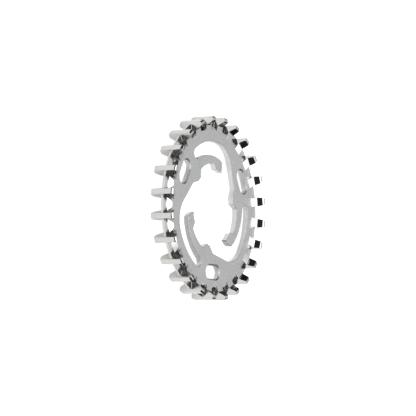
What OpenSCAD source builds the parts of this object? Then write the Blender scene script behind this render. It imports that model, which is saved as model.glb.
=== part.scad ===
// Belt drive sprocket for a bicycle rear hub, one piece of stainless steel.
// It lies flat with its front face up. The wheel axis is Z, and Z = 0 is the back end of the teeth.

/* [Teeth] */
// Number of teeth
tooth_count = 24; // [24:1:26]
// Tooth pitch of the belt, measured along its pitch line
tooth_pitch = 11; // [10.9:0.05:11.1]
// How far the tooth tips lie inside the pitch line
tip_inset = 0.85; // [0.7:0.05:1.1]
// Height of a tooth above the rim
tooth_height = 4.8; // [4.5:0.1:5]
// Width of the toothed rim along the axis
tooth_width = 11.2; // [10.8:0.1:11.6]
// Width of the flat land on a tooth tip
tip_land = 2.35; // [2:0.05:2.6]
// Width of a tooth where its flanks meet the rim
base_width = 3.9; // [3.4:0.1:4.2]
// Radius of the rounded edges beside the tip land
tip_edge_r = 0.4; // [0.2:0.05:0.5]
// Radius in the corner between a flank and the rim
root_r = 1.2; // [0.8:0.1:1.4]
// Radius of the rounded nose at each end of a tooth
nose_r = 1.1; // [0.8:0.05:1.3]
// Steepness of the inner side of a tooth end, from the face of the plate
heel_angle = 60; // [55:1:65]
// Radius of the hollow between that side and the plate
heel_r = 3.2; // [2:0.1:3.4]

/* [Centre flange] */
// Thickness of the flange that guides the belt
flange_t = 1; // [0.8:0.1:1.4]
// How far the flange stays below the tooth tips
flange_inset = 1; // [0.6:0.1:1.6]

/* [Plate] */
// Thickness of the plate
plate_t = 2.4; // [2:0.1:2.6]
// How far the teeth stand in front of the plate
tooth_front = 3.5; // [3.2:0.1:3.8]
// Radius of the inner edge of the ring under the teeth
ring_r = 30; // [29.6:0.1:30.4]
// Radial depth of the thickened rim under the teeth
rim_depth = 3; // [2.4:0.1:4]
// Radius of the round scallop that each tooth gap cuts into the face of the rim
scallop_r = 2.8; // [2.4:0.1:3]
// How far a scallop reaches in below the foot of the tooth gap
scallop_reach = 1.8; // [1.4:0.1:2]

/* [Hub fit] */
// Diameter of the hub driver that the hooks close on
driver_d = 34.9; // [34.6:0.1:35.2]
// Radius that the tips of the tabs reach
tab_tip_r = 17.1; // [16.8:0.1:17.4]
// Radius of the inner edge of a hook
hook_in_r = 20.1; // [19.8:0.1:20.4]
// Radius of the outer edge of a hook
hook_out_r = 22.8; // [22.4:0.1:23]
// Distance of that edge's centre from the axis
hook_shift = 3.5; // [3:0.1:4]
// Radius of the shoulder at the free end of a hook
shoulder_r = 2.2; // [1.6:0.1:2.6]
// Radius of the rounded end of the slot behind a hook
slot_end_r = 2.4; // [2:0.1:2.6]
// Distance of an arm's straight edge from the axis
arm_edge = 19.7; // [19.4:0.1:20]
// Radius of the sweep from that edge into the ring
sweep_r = 12; // [11:0.5:13]

/* [Holes] */
// Distance of each long hole from the axis
hole_r = 28.5; // [28.3:0.1:28.7]
// Length of a long hole
hole_l = 11.2; // [10:0.1:12]
// Width of a long hole
hole_w = 6; // [5:0.1:6.2]
// Width of the bevel round its front edge
hole_bevel = 0.6; // [0.3:0.1:0.8]

/* [Hidden] */
$fn = 96;
slack = 1;

// How far the hollow at a tooth's foot runs into the face that it ends on
sink = 0.02;

// Radii and heights that follow from the teeth
pitch_r = tooth_count * tooth_pitch / (2 * PI);
tip_r = pitch_r - tip_inset;
root_circle_r = tip_r - tooth_height;
rim_in_r = root_circle_r - rim_depth;
tooth_in_r = rim_in_r + slack;
flange_r = tip_r - flange_inset;
tooth_step = 360 / tooth_count;
flank_angle = atan((base_width - tip_land) / 2 / tooth_height);
mid_z = tooth_width / 2;
plate_top = tooth_width - tooth_front;
plate_bottom = plate_top - plate_t;
driver_r = driver_d / 2;

// Scallop between the teeth: a blunt cone on its side, whose lowest line falls from the face of the
// rim to just above the flange
scallop_clear = 0.1;
scallop_out = 0.05;
scallop_apex = 0.8;
scallop_l = 4;
scallop_side = 0.2;
face_y = plate_top - mid_z;
scallop_end = flange_t / 2 + scallop_clear;
scallop_fall = atan((face_y - scallop_end) / (scallop_reach + scallop_out));
scallop_half = atan(scallop_r / scallop_apex);

// Angles round the axis, the first arm being the one at the upper left
arm_count = 3;
arm_step = 360 / arm_count;
hole_a = 148.4;
edge_a = 136;
tab_left_a = 138.4;
tab_right_a = 129.8;
notch_a = 148.8;
hook_root_a = 122.2;
bump_root_a = 89.3;
bump_left_a = 83.3;
bump_right_a = 67.8;
hook_shift_a = 165.2;
first_tooth_a = 7.7;

// Small radii in and on the corners of the arms
corner_r = 0.5;
inner_corner_r = 0.8;
notch_r = 2;

// Straight part of a long hole
hole_straight = hole_l - hole_w;

function polar(r, a) = [r * cos(a), r * sin(a)];
function heading(p, q) = atan2(q.y - p.y, q.x - p.x);
function half_width(r) = tip_land / 2 + (tip_r - r) * tan(flank_angle);

// Centre of a hook's outer edge, and of the slot end that touches that edge and the ring
hook_c = polar(hook_shift, hook_shift_a);
slot_c_r = ring_r - slot_end_r;
slot_gap = hook_out_r + slot_end_r;
slot_a = hook_shift_a - acos((slot_c_r^2 + hook_shift^2 - slot_gap^2) / (2 * slot_c_r * hook_shift));

// Free end of a hook: a straight face with a round shoulder above it
hook_end_x = 7.1;
bump_face_y = 17.8;
shoulder_x = hook_end_x - shoulder_r;
shoulder_y = hook_c.y + sqrt((hook_out_r - shoulder_r)^2 - (shoulder_x - hook_c.x)^2);

// Sweep between an arm's straight edge and the ring
sweep_c_r = ring_r - sweep_r;
sweep_a = edge_a + acos((arm_edge - sweep_r) / sweep_c_r);
edge_ring_a = edge_a + acos(arm_edge / ring_r);

// Filling of the corner at p, whose edges leave at angles a1 and a2, out to a circle that touches both
module corner_web(p, a1, a2, r) {
    half = abs(a2 - a1) / 2;
    c = p + polar(r / sin(half), (a1 + a2) / 2);
    run = r / tan(half);
    difference() {
        polygon([p, p + polar(run, a1), c, p + polar(run, a2)]);
        translate(c) circle(r);
    }
}

// Body of an arm, from the ring to its straight edge
module arm_web() {
    edge_start = polar(arm_edge / cos(hook_root_a - edge_a), hook_root_a);
    sweep_c = polar(sweep_c_r, sweep_a);
    sweep_end = sweep_c + polar(sweep_r, edge_a);
    difference() {
        polygon([
            polar(hook_in_r, slot_a),
            polar(rim_in_r, slot_a),
            polar(rim_in_r, hole_a),
            polar(rim_in_r, edge_ring_a),
            polar(rim_in_r, sweep_a),
            sweep_c,
            sweep_end,
            edge_start
        ]);
        translate(sweep_c) circle(sweep_r);
        translate(polar(slot_c_r, slot_a)) circle(slot_end_r);
    }
}

// Tab that a groove of the hub driver takes, with its corners rounded
module arm_tab() {
    notch = polar(arm_edge / cos(notch_a - edge_a), notch_a);
    left = polar(tab_tip_r, tab_left_a);
    right = polar(tab_tip_r, tab_right_a);
    root = polar(hook_in_r, hook_root_a);
    difference() {
        polygon([
            notch,
            left,
            polar(tab_tip_r - slack, (tab_left_a + tab_right_a) / 2),
            right,
            root,
            polar(hook_in_r + slack, hook_root_a),
            polar(arm_edge / cos(notch_a - edge_a) + slack, notch_a)
        ]);
        circle(tab_tip_r);
        corner_web(left, tab_left_a - 90, heading(left, notch), corner_r);
        corner_web(right, heading(right, root), tab_right_a + 90, corner_r);
    }
    corner_web(notch, edge_a + 90, heading(notch, left) + 360, notch_r);
    corner_web(root, heading(root, right), hook_root_a - 90, inner_corner_r);
}

// Spring hook with its bump at the free end
module arm_hook() {
    intersection() {
        difference() {
            translate(hook_c) circle(hook_out_r);
            circle(hook_in_r);
        }
        polygon([
            [0, 0],
            polar(ring_r, slot_a),
            [shoulder_x, ring_r],
            [shoulder_x, shoulder_y],
            [hook_end_x, shoulder_y]
        ]);
    }
    translate([shoulder_x, shoulder_y]) circle(shoulder_r);
    hook_bump();
}

// Bump at the free end of a hook, which grips the hub driver
module hook_bump() {
    root = polar(hook_in_r, bump_root_a);
    left = polar(driver_r, bump_left_a);
    right = polar(driver_r, bump_right_a);
    end = [hook_end_x, bump_face_y];
    difference() {
        polygon([
            polar(hook_in_r + slack, bump_root_a),
            root,
            left,
            polar(driver_r - slack, (bump_left_a + bump_right_a) / 2),
            right,
            end,
            [hook_end_x, shoulder_y],
            [shoulder_x, shoulder_y]
        ]);
        circle(driver_r);
        corner_web(left, bump_left_a - 90, heading(left, root), corner_r);
        corner_web(right, heading(right, end), bump_right_a + 90, corner_r);
    }
    corner_web(root, bump_root_a + 90, heading(root, left) + 360, inner_corner_r);
}

module long_hole() {
    square([hole_w, hole_straight], center = true);
    for (s = [-1, 1]) translate([0, s * hole_straight / 2]) circle(hole_w / 2);
}

// Bevel round the front edge of a long hole
module long_hole_bevel() {
    r1 = hole_w / 2;
    r2 = r1 + 2 * hole_bevel;
    for (s = [-1, 1]) translate([0, s * hole_straight / 2, -hole_bevel]) cylinder(2 * hole_bevel, r1, r2);
    rotate([90, 0, 0]) linear_extrude(hole_straight, center = true) polygon([
        [-r1, -hole_bevel],
        [r1, -hole_bevel],
        [r2, hole_bevel],
        [-r2, hole_bevel]
    ]);
}

// Puts what it is given at each long hole
module at_long_holes() {
    for (i = [0 : arm_count - 1]) rotate(hole_a + i * arm_step) translate([hole_r, 0]) children();
}

module plate_outline() {
    difference() {
        circle(rim_in_r + slack);
        circle(ring_r);
    }
    for (i = [0 : arm_count - 1]) rotate(i * arm_step) {
        arm_web();
        arm_tab();
        arm_hook();
    }
}

module plate() {
    difference() {
        translate([0, 0, plate_bottom]) linear_extrude(plate_t) difference() {
            plate_outline();
            at_long_holes() long_hole();
        }
        translate([0, 0, plate_top]) at_long_holes() long_hole_bevel();
    }
}

// Thickened rim between the teeth, with the flange that guides the belt
module rim() {
    rotate_extrude() {
        translate([rim_in_r, tooth_front]) square([root_circle_r - rim_in_r, plate_top - tooth_front]);
        translate([rim_in_r, mid_z - flange_t / 2]) square([flange_r - rim_in_r, flange_t]);
    }
}

// Hollow corner between one flank of a tooth and the rim: s is 1 or -1 for the side
module root_fill(s) {
    across = 90 - flank_angle;
    flank_reach = tip_r * cos(across) + tip_land / 2 * sin(across);
    c_r = root_circle_r + root_r - sink;
    c_a = across - acos((flank_reach + root_r) / c_r);
    c = polar(c_r, c_a);
    mirror([0, s < 0 ? 1 : 0]) difference() {
        polygon([polar(tooth_in_r, 0), c - polar(root_r, across), c, polar(tooth_in_r, c_a)]);
        translate(c) circle(root_r);
    }
}

// Cross-section of a tooth, seen along the axis, on the X axis
module tooth_outline() {
    edge_c = [tip_r - tip_edge_r, half_width(tip_r - tip_edge_r) - tip_edge_r / cos(flank_angle)];
    edge_end = edge_c + tip_edge_r * [sin(flank_angle), cos(flank_angle)];
    for (s = [-1, 1]) {
        translate([edge_c.x, s * edge_c.y]) circle(tip_edge_r);
        root_fill(s);
    }
    polygon([
        [tooth_in_r, -half_width(tooth_in_r)],
        [edge_end.x, -edge_end.y],
        [tip_r, -edge_c.y],
        [tip_r, edge_c.y],
        [edge_end.x, edge_end.y],
        [tooth_in_r, half_width(tooth_in_r)]
    ]);
}

// Profile of one end of a tooth, seen from its side: X is the radius, Y the height above mid-width
module tooth_end_profile() {
    nose_c = [tip_r - nose_r, mid_z - nose_r];
    slope_top = nose_c + nose_r * [-sin(heel_angle), cos(heel_angle)];
    heel_y = mid_z - tooth_front - sink;
    foot = [slope_top.x - (slope_top.y - heel_y) / tan(heel_angle), heel_y];
    translate(nose_c) circle(nose_r);
    polygon([
        [tooth_in_r, -slack],
        [tooth_in_r, heel_y],
        foot,
        slope_top,
        nose_c,
        [tip_r, nose_c.y],
        [tip_r, -slack]
    ]);
    corner_web(foot, heel_angle, 180, heel_r);
}

module tooth() {
    intersection() {
        linear_extrude(tooth_width) tooth_outline();
        translate([0, base_width, mid_z]) rotate([90, 0, 0]) linear_extrude(2 * base_width) {
            tooth_end_profile();
            mirror([0, 1]) tooth_end_profile();
        }
    }
}

// Side of the scallop, next to the flank of the tooth on the left, at distance r along that tooth
function scallop_edge(r) =
    let (a = tooth_step / 2, y = half_width(r) + scallop_side) [r * cos(a) + y * sin(a), r * sin(a) - y * cos(a)];

// Hollow slope at the foot of a tooth gap, from each face of the rim towards the flange
module scallop() {
    low = scallop_edge(tooth_in_r);
    high = scallop_edge(tip_r);
    apex_x = root_circle_r - scallop_reach - scallop_apex / tan(scallop_fall);
    translate([0, 0, mid_z]) for (s = [0, 1]) mirror([0, 0, s]) intersection() {
        translate([apex_x, 0, face_y + scallop_apex]) rotate([0, 90 + scallop_fall - scallop_half, 0])
            cylinder(scallop_l, 0, scallop_l * tan(scallop_half));
        translate([0, 0, scallop_end]) linear_extrude(mid_z) polygon([
            [low.x, -low.y],
            [high.x, -high.y],
            high,
            low
        ]);
    }
}

module sprocket() {
    color("silver") difference() {
        union() {
            plate();
            rim();
            for (i = [0 : tooth_count - 1]) rotate(first_tooth_a + i * tooth_step) tooth();
        }
        for (i = [0 : tooth_count - 1]) rotate(first_tooth_a + (i + 0.5) * tooth_step) scallop();
    }
}

sprocket();
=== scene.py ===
import math

import bmesh
import bpy
from mathutils import Matrix, Vector


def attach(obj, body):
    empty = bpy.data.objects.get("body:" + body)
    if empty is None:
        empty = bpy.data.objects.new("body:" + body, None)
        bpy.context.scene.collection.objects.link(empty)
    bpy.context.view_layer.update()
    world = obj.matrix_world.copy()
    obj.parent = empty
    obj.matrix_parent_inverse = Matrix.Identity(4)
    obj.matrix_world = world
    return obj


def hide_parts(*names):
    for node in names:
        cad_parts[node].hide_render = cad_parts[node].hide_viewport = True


MM = 0.001

# Sizes are in mm and angles in degrees. MID is the height of the middle of the teeth. The plate out
# to CORE_R is the CAD body's own. The toothed ring is made here, from RING_IN_R on, a little inside
# the plate's edge.
TEETH = 24
FIRST_TOOTH = 7.7
MID = 5.6
CORE_R = 34.2
CORE_STEPS = 180
CORE_START = 0.5
RING_IN_R = 33.7
RING_STEPS = 6 * TEETH

# Tooth, seen along the axis: radii, widths at tip and foot, rounding of the tip's edges
TIP_R = 41.16
FOOT_R = 37.4
TOOTH_IN_R = 33.5
LAND_W = 2.35
FOOT_W = 4.25
EDGE_R = 0.4
FLANK = math.degrees(math.atan2((FOOT_W - LAND_W) / 2, TIP_R - FOOT_R))

# Tooth, seen from its side: half width, gentle heel, hollow, steep slope and rounded nose
HALF_W = 5.598
HEEL_R = 33.6
HEEL_RISE = 11
HEEL_HOLLOW = 0.8
SLOPE = 60
NOSE_R = 1.1
NOSE_FLAT = 0.43

# Round bottom of the gap between two teeth
GAP_R = 2.6
GAP_FLOOR_R = 34.97

# Rim and flange: half heights, and the sloped shoulder between them
FACE = 2.1
FLANGE = 0.5
SHOULDER_TOP_R = 35.12
SHOULDER_FOOT_R = 36.97
FLANGE_R = 40.1669

# Solids reach OVERLAP into each other where they are joined, cutters reach BEYOND past the part, and
# points closer than WELD become one
OVERLAP = 0.02
BEYOND = 1
WELD = 0.001

# An edge is rounded from one angle on, and a corner is too pointed for that from another. Faint
# edges of level faces stay sharp. The last two are margins, for places and for angles.
ROUNDING = 0.12
ROUND_FROM = 28
POINTED_FROM = 150
SHARP_FROM = 5
HOLE_BEVEL = 45
NEAR = 0.1
NEAR_ANGLE = 5

# Upward part of a face's normal: at least LEVEL on a level face, and at most WALL on a wall. On the
# bevels of the holes it is within a margin of their own.
LEVEL = 0.99
WALL = 0.05
BEVEL_UP = math.cos(math.radians(HOLE_BEVEL))
UP_MARGIN = 0.1

# Camera at the photograph's viewing angle: the picture's right, down and forward
CAM_RIGHT = (0.5154, 0.00094, 0.85695)
CAM_DOWN = (0.05726, -0.9978, -0.03335)
CAM_FORWARD = (0.85503, 0.06626, -0.51432)
CAM_PLACE = (-917.63, -70.86, 556.63)
CAM_LENS = 208.0156

# Light in the studio: direction, angle up to which it is even, angle at which it is gone, level
GLOWS = [
    ((-0.1, 0, 1), 24, 40, 2.2),
    ((0.856, 0.068, 0.512), 13, 26, 0.58),
    ((0.62, 0, 0.785), 7, 14, 1.2),
    ((0, 0, 1), 0, 100, 0.045),
]
FLOOR_Z = -0.1
FLOOR_SEEN = 0.8
FLOOR_MIRRORED = 0.37

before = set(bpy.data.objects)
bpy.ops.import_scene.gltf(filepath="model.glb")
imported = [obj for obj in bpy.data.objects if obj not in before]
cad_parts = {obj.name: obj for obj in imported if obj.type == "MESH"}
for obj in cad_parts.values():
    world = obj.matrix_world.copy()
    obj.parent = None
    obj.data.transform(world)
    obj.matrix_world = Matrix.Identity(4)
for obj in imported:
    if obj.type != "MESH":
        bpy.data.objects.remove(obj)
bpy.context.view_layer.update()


# Shape

def polar(r, a):
    """Point at a radius and an angle."""
    return Vector((r * math.cos(math.radians(a)), r * math.sin(math.radians(a))))


def arc(centre, r, start, end, steps):
    """Points of an arc from one angle to another."""
    return [centre + polar(r, start + (end - start) * i / steps) for i in range(steps + 1)]


def prism(outline, low, high, turn=None):
    """Solid between two heights over a flat outline, turned afterwards if a matrix is given."""
    bm = bmesh.new()
    face = bm.faces.new([bm.verts.new((p[0], p[1], low)) for p in outline])
    made = bmesh.ops.extrude_face_region(bm, geom=[face])["geom"]
    raised = [part for part in made if isinstance(part, bmesh.types.BMVert)]
    bmesh.ops.translate(bm, verts=raised, vec=(0, 0, high - low))
    if turn:
        bmesh.ops.transform(bm, matrix=turn, verts=bm.verts)
    return solid(bm)


def revolved(profile, steps):
    """Ring made by turning a profile of radius and height round the axis, from mid-gap on."""
    bm = bmesh.new()
    rows = []
    for i in range(steps):
        way = polar(1, FIRST_TOOTH + 360 / TEETH / 2 + 360 * i / steps)
        rows.append([bm.verts.new((way.x * r, way.y * r, h)) for r, h in profile])
    for i in range(steps):
        one, two = rows[i], rows[(i + 1) % steps]
        for k in range(len(profile)):
            j = (k + 1) % len(profile)
            bm.faces.new((one[k], two[k], two[j], one[j]))
    return solid(bm)


def solid(bm):
    """Object from a mesh under construction, with its normals outwards."""
    bmesh.ops.recalc_face_normals(bm, faces=bm.faces)
    mesh = bpy.data.meshes.new("solid")
    bm.to_mesh(mesh)
    bm.free()
    piece = bpy.data.objects.new("solid", mesh)
    bpy.context.scene.collection.objects.link(piece)
    return piece


def joined(piece, tool, how):
    """The piece after a boolean with the tool, which is used up."""
    cut = piece.modifiers.new("cut", "BOOLEAN")
    cut.operation = how
    cut.solver = "EXACT"
    cut.object = tool
    made = bpy.data.meshes.new_from_object(piece.evaluated_get(bpy.context.evaluated_depsgraph_get()))
    piece.modifiers.clear()
    piece.data = made
    bpy.data.objects.remove(tool)
    return piece


def tooth_outline():
    """Cross-section of a tooth, seen along the axis."""
    half = LAND_W / 2 + EDGE_R * math.tan(math.radians(FLANK))
    centre = Vector((TIP_R - EDGE_R, half - EDGE_R / math.cos(math.radians(FLANK))))
    upper = arc(centre, EDGE_R, 0, 90 - FLANK, steps=4)
    upper += [Vector((FOOT_R, FOOT_W / 2)), Vector((TOOTH_IN_R, FOOT_W / 2))]
    return upper + [Vector((p.x, -p.y)) for p in reversed(upper)]


def tooth_side():
    """Profile of a tooth, seen from its side, as radius and height above mid-width."""
    rise, steep = math.tan(math.radians(HEEL_RISE)), math.tan(math.radians(SLOPE))
    nose = Vector((TIP_R - NOSE_R, HALF_W - NOSE_R))
    shoulder = nose - Vector((NOSE_FLAT, 0))
    top = shoulder + polar(NOSE_R, 90 + SLOPE)
    start = FACE - OVERLAP
    foot_x = (top.x * steep - top.y + start - HEEL_R * rise) / (steep - rise)
    foot = Vector((foot_x, start + (foot_x - HEEL_R) * rise))
    between = (180 + HEEL_RISE - SLOPE) / 2
    centre = foot + polar(HEEL_HOLLOW / math.sin(math.radians(between)), SLOPE + between)
    front = [Vector((TOOTH_IN_R, start)), Vector((HEEL_R, start))]
    front += arc(centre, HEEL_HOLLOW, HEEL_RISE - 90, SLOPE - 90, steps=5)
    front += arc(shoulder, NOSE_R, 90 + SLOPE, 90, steps=5) + arc(nose, NOSE_R, 90, 0, steps=7)
    return front + [Vector((p.x, -p.y)) for p in reversed(front)]


def gap_corner(side):
    """Filling of the round corner between a tooth and the rim, on one side of the tooth."""
    across = 90 - FLANK
    reach = TIP_R * math.cos(math.radians(across)) + LAND_W / 2 * math.sin(math.radians(across))
    centre_r = GAP_FLOOR_R + GAP_R
    centre_a = across - math.degrees(math.acos((reach + GAP_R - OVERLAP) / centre_r))
    curve = arc(polar(centre_r, centre_a), GAP_R, 180 + across, 180 + centre_a, steps=8)
    outline = [polar(CORE_R, 0), *curve, polar(CORE_R, centre_a)]
    return [Vector((p.x, side * p.y)) for p in outline]


def toothed_ring():
    """One tooth, cut to both of its views and repeated round the axis, joined to rim and flange."""
    tooth = prism(tooth_outline(), -BEYOND, 2 * MID + BEYOND)
    on_edge = Matrix.Translation((0, 0, MID)) @ Matrix.Rotation(math.radians(90), 4, "X")
    joined(tooth, prism(tooth_side(), -FOOT_W, FOOT_W, on_edge), "INTERSECT")
    for side in (1, -1):
        joined(tooth, prism(gap_corner(side), MID - FACE, MID + FACE), "UNION")
    bm = bmesh.new()
    for i in range(TEETH):
        known = len(bm.verts)
        bm.from_mesh(tooth.data)
        bm.verts.ensure_lookup_table()
        turn = Matrix.Rotation(math.radians(FIRST_TOOTH + 360 / TEETH * i), 4, "Z")
        bmesh.ops.transform(bm, matrix=turn, verts=bm.verts[known:])
    bpy.data.objects.remove(tooth)
    profile = [
        (RING_IN_R, -FACE),
        (SHOULDER_TOP_R, -FACE),
        (SHOULDER_FOOT_R, -FLANGE),
        (FLANGE_R, -FLANGE),
        (FLANGE_R, FLANGE),
        (SHOULDER_FOOT_R, FLANGE),
        (SHOULDER_TOP_R, FACE),
        (RING_IN_R, FACE),
    ]
    ring = revolved([(r, MID + h) for r, h in profile], RING_STEPS)
    return joined(ring, solid(bm), "UNION")


def whole_part(source):
    """The plate out to the rim from the CAD body, with the toothed ring round it."""
    bm = bmesh.new()
    bm.from_mesh(source.data)
    bmesh.ops.remove_doubles(bm, verts=bm.verts, dist=WELD * MM)
    bmesh.ops.scale(bm, vec=(1 / MM, 1 / MM, 1 / MM), verts=bm.verts)
    piece = solid(bm)
    last = CORE_START + 360 - 360 / CORE_STEPS
    disc = arc(Vector((0, 0)), CORE_R, CORE_START, last, CORE_STEPS - 1)
    joined(piece, prism(disc, -BEYOND, 2 * MID + BEYOND), "INTERSECT")
    joined(piece, toothed_ring(), "UNION")
    piece.data.transform(Matrix.Diagonal((MM, MM, MM, 1)))
    piece.name = "sprocket_body"
    return piece


def round_edges(piece):
    """Edges get a small rounding. Those of the holes' bevels, of the bottom of a tooth gap and of
    corners too pointed for one stay sharp."""
    bm = bmesh.new()
    bm.from_mesh(piece.data)
    rounding = bm.edges.layers.float.new("bevel_weight_edge")
    angles = {edge: math.degrees(edge.calc_face_angle(0)) for edge in bm.edges}
    pointed = {vert for edge, angle in angles.items() if angle > POINTED_FROM for vert in edge.verts}
    for edge, angle in angles.items():
        middle = (edge.verts[0].co + edge.verts[1].co) / 2 / MM
        r, height = middle.xy.length, abs(middle.z - MID)
        in_gap = HEEL_R - NEAR < r < SHOULDER_FOOT_R + NEAR and height < FACE + NEAR
        hole_bevel = abs(angle - HOLE_BEVEL) < NEAR_ANGLE and r < TOOTH_IN_R
        at_point = not pointed.isdisjoint(edge.verts)
        level = any(abs(face.normal.z) > LEVEL for face in edge.link_faces)
        if angle > ROUND_FROM and not (in_gap or hole_bevel or at_point):
            edge[rounding] = 1
        elif angle > ROUND_FROM or (level and height < FACE + NEAR and angle > SHARP_FROM):
            edge.smooth = False
    bm.to_mesh(piece.data)
    bm.free()
    bevel = piece.modifiers.new("edge rounding", "BEVEL")
    bevel.width = ROUNDING * MM
    bevel.segments = 2
    bevel.limit_method = "WEIGHT"
    bevel.use_clamp_overlap = False
    bevel.miter_outer = "MITER_ARC"
    for face in piece.data.polygons:
        face.use_smooth = True
    normals = piece.modifiers.new("flat faces stay flat", "WEIGHTED_NORMAL")
    normals.keep_sharp = True


def finish_of(face):
    """Name of the finish that a face takes, from where it is and which way it looks."""
    x, y, z = face.center / MM
    r, up = math.hypot(x, y), abs(face.normal.z)
    if up > LEVEL:
        return "flange" if r > SHOULDER_TOP_R and abs(z - MID) < FACE - NEAR else "satin"
    if r > HEEL_R and up > WALL:
        return "turned"
    return "bevel" if abs(up - BEVEL_UP) < UP_MARGIN else "wall"


def dress(piece):
    """Each face of the piece gets its finish."""
    finishes = {
        "satin": satin_steel(),
        "flange": flange_steel(),
        "wall": wall_steel(),
        "turned": turned_steel(),
        "bevel": bevel_steel(),
    }
    for made in finishes.values():
        piece.data.materials.append(made)
    names = list(finishes)
    for face in piece.data.polygons:
        face.material_index = names.index(finish_of(face))


# Finish

class Steel:
    """Stainless steel made of one metal shader with grain in its roughness, colour and height."""

    # Noise values stay mostly between these
    LOW = 0.3
    HIGH = 0.7

    def __init__(self, name, colour, roughness):
        self.material = bpy.data.materials.new(name)
        self.material.use_nodes = True
        self.nodes = self.material.node_tree.nodes
        self.links = self.material.node_tree.links
        self.shader = self.nodes["Principled BSDF"]
        self.shader.inputs["Metallic"].default_value = 1.0
        self.colour = colour
        self.roughness = roughness
        self.place = self.nodes.new("ShaderNodeTexCoord").outputs["Object"]

    def noise(self, scale, detail=3.0, stretch=(1, 1, 1)):
        mapping = self.nodes.new("ShaderNodeMapping")
        mapping.inputs["Scale"].default_value = stretch
        self.links.new(self.place, mapping.inputs["Vector"])
        noise = self.nodes.new("ShaderNodeTexNoise")
        noise.inputs["Scale"].default_value = scale
        noise.inputs["Detail"].default_value = detail
        self.links.new(mapping.outputs["Vector"], noise.inputs["Vector"])
        return noise.outputs["Fac"]

    def spread(self, value, low, high):
        span = self.nodes.new("ShaderNodeMapRange")
        span.inputs["From Min"].default_value = self.LOW
        span.inputs["From Max"].default_value = self.HIGH
        span.inputs["To Min"].default_value = low
        span.inputs["To Max"].default_value = high
        self.links.new(value, span.inputs["Value"])
        return span.outputs["Result"]

    def tint(self, value, amount):
        ramp = self.nodes.new("ShaderNodeValToRGB")
        stops = ((self.LOW, 1 - amount), (self.HIGH, 1 + amount))
        for stop, (position, share) in zip(ramp.color_ramp.elements, stops):
            stop.position = position
            stop.color = (*[c * share for c in self.colour], 1)
        self.links.new(value, ramp.inputs["Fac"])
        self.links.new(ramp.outputs["Color"], self.shader.inputs["Base Color"])

    def rough(self, value, amount):
        self.links.new(
            self.spread(value, self.roughness - amount, self.roughness + amount),
            self.shader.inputs["Roughness"],
        )

    def bump(self, value, height):
        bump = self.nodes.new("ShaderNodeBump")
        bump.inputs["Strength"].default_value = 1.0
        bump.inputs["Distance"].default_value = height * MM
        self.links.new(value, bump.inputs["Height"])
        self.links.new(bump.outputs["Normal"], self.shader.inputs["Normal"])


def satin_steel():
    steel = Steel("steel_satin", (0.66, 0.665, 0.67), 0.25)
    steel.tint(steel.noise(180), 0.03)
    steel.rough(steel.noise(900), 0.04)
    steel.bump(steel.noise(2500, 2.0), 0.0006)
    return steel.material


def flange_steel():
    steel = Steel("steel_flange", (0.8, 0.8, 0.8), 0.2)
    steel.tint(steel.noise(300), 0.03)
    steel.rough(steel.noise(900), 0.04)
    steel.bump(steel.noise(3000, 2.0), 0.003)
    return steel.material


def wall_steel():
    steel = Steel("steel_wall", (0.7, 0.69, 0.67), 0.2)
    steel.tint(steel.noise(260), 0.03)
    steel.rough(steel.noise(1200, stretch=(1, 1, 0.2)), 0.05)
    steel.bump(steel.noise(3000, 2.0, stretch=(1, 1, 0.3)), 0.003)
    return steel.material


def turned_steel():
    steel = Steel("steel_turned", (0.72, 0.72, 0.72), 0.1)
    steel.tint(steel.noise(260), 0.02)
    steel.rough(steel.noise(1200), 0.03)
    steel.bump(steel.noise(2500, 2.0), 0.002)
    return steel.material


def bevel_steel():
    steel = Steel("steel_bevel", (0.66, 0.66, 0.65), 0.5)
    steel.tint(steel.noise(260), 0.03)
    steel.rough(steel.noise(1200), 0.04)
    steel.bump(steel.noise(3000, 2.0), 0.002)
    return steel.material


# Studio

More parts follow.
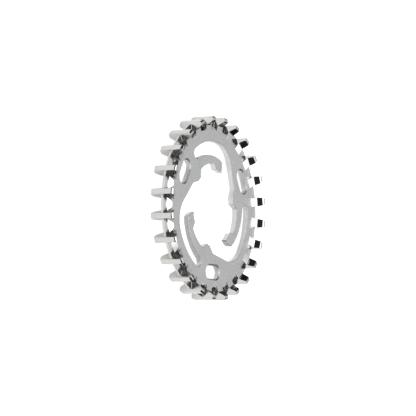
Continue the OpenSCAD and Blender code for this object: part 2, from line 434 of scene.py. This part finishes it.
def studio():
    """A dark room with a large light overhead, a pale card beyond the part, a small light between
    the two and a trace of light from above. The camera itself sees plain white."""
    world = bpy.data.worlds.new("studio")
    bpy.context.scene.world = world
    world.use_nodes = True
    nodes, links = world.node_tree.nodes, world.node_tree.links
    nodes.clear()
    out = nodes.new("ShaderNodeOutputWorld")
    way = nodes.new("ShaderNodeTexCoord").outputs["Generated"]

    def glow(direction, full, end, level):
        """Light from round a direction, even up to one angle and gone at the other, in degrees."""
        dot = nodes.new("ShaderNodeVectorMath")
        dot.operation = "DOT_PRODUCT"
        dot.inputs[1].default_value = Vector(direction).normalized()
        links.new(way, dot.inputs[0])
        fade = nodes.new("ShaderNodeMapRange")
        fade.interpolation_type = "SMOOTHSTEP"
        fade.inputs["From Min"].default_value = math.cos(math.radians(end))
        fade.inputs["From Max"].default_value = math.cos(math.radians(full))
        fade.inputs["To Max"].default_value = level
        links.new(dot.outputs["Value"], fade.inputs["Value"])
        return fade.outputs["Result"]

    total = glow(*GLOWS[0])
    for each in GLOWS[1:]:
        add = nodes.new("ShaderNodeMath")
        add.operation = "ADD"
        links.new(total, add.inputs[0])
        links.new(glow(*each), add.inputs[1])
        total = add.outputs["Value"]
    around = nodes.new("ShaderNodeBackground")
    around.inputs["Color"].default_value = (1, 1, 1, 1)
    links.new(total, around.inputs["Strength"])
    white = nodes.new("ShaderNodeBackground")
    white.inputs["Color"].default_value = (1, 1, 1, 1)
    path = nodes.new("ShaderNodeLightPath")
    pick = nodes.new("ShaderNodeMixShader")
    links.new(path.outputs["Is Camera Ray"], pick.inputs["Fac"])
    links.new(around.outputs["Background"], pick.inputs[1])
    links.new(white.outputs["Background"], pick.inputs[2])
    links.new(pick.outputs["Shader"], out.inputs["Surface"])


def floor():
    """White floor under the part. It keeps a soft shadow, and metal reflects it a little darker."""
    bpy.ops.mesh.primitive_plane_add(size=6, location=(0, 0, FLOOR_Z * MM))
    plane = bpy.context.object
    plane.name = "floor"
    material = bpy.data.materials.new("floor_white")
    material.use_nodes = True
    nodes, links = material.node_tree.nodes, material.node_tree.links
    nodes.clear()
    out = nodes.new("ShaderNodeOutputMaterial")
    matte = nodes.new("ShaderNodeBsdfDiffuse")
    matte.inputs["Color"].default_value = (0.8, 0.8, 0.8, 1)
    seen = nodes.new("ShaderNodeEmission")
    seen.inputs["Strength"].default_value = FLOOR_SEEN
    mirrored = nodes.new("ShaderNodeEmission")
    mirrored.inputs["Strength"].default_value = FLOOR_MIRRORED
    path = nodes.new("ShaderNodeLightPath")
    pick = nodes.new("ShaderNodeMixShader")
    links.new(path.outputs["Is Camera Ray"], pick.inputs["Fac"])
    links.new(mirrored.outputs["Emission"], pick.inputs[1])
    links.new(seen.outputs["Emission"], pick.inputs[2])
    both = nodes.new("ShaderNodeAddShader")
    links.new(matte.outputs["BSDF"], both.inputs[0])
    links.new(pick.outputs["Shader"], both.inputs[1])
    links.new(both.outputs["Shader"], out.inputs["Surface"])
    plane.data.materials.append(material)


def camera():
    data = bpy.data.cameras.new("camera")
    data.lens = CAM_LENS
    data.sensor_width = 36
    data.sensor_fit = "HORIZONTAL"
    data.clip_start = 0.01
    data.clip_end = 20
    eye = bpy.data.objects.new("camera", data)
    bpy.context.scene.collection.objects.link(eye)
    right, down, forward = Vector(CAM_RIGHT), Vector(CAM_DOWN), Vector(CAM_FORWARD)
    turn = Matrix((right, -down, -forward)).transposed()
    eye.matrix_world = Matrix.Translation(Vector(CAM_PLACE) * MM) @ turn.to_4x4()
    bpy.context.scene.camera = eye


body = whole_part(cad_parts["sprocket"])
round_edges(body)
dress(body)
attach(body, "root")
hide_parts("sprocket")

studio()
floor()
camera()
bpy.context.scene.view_settings.view_transform = "Standard"
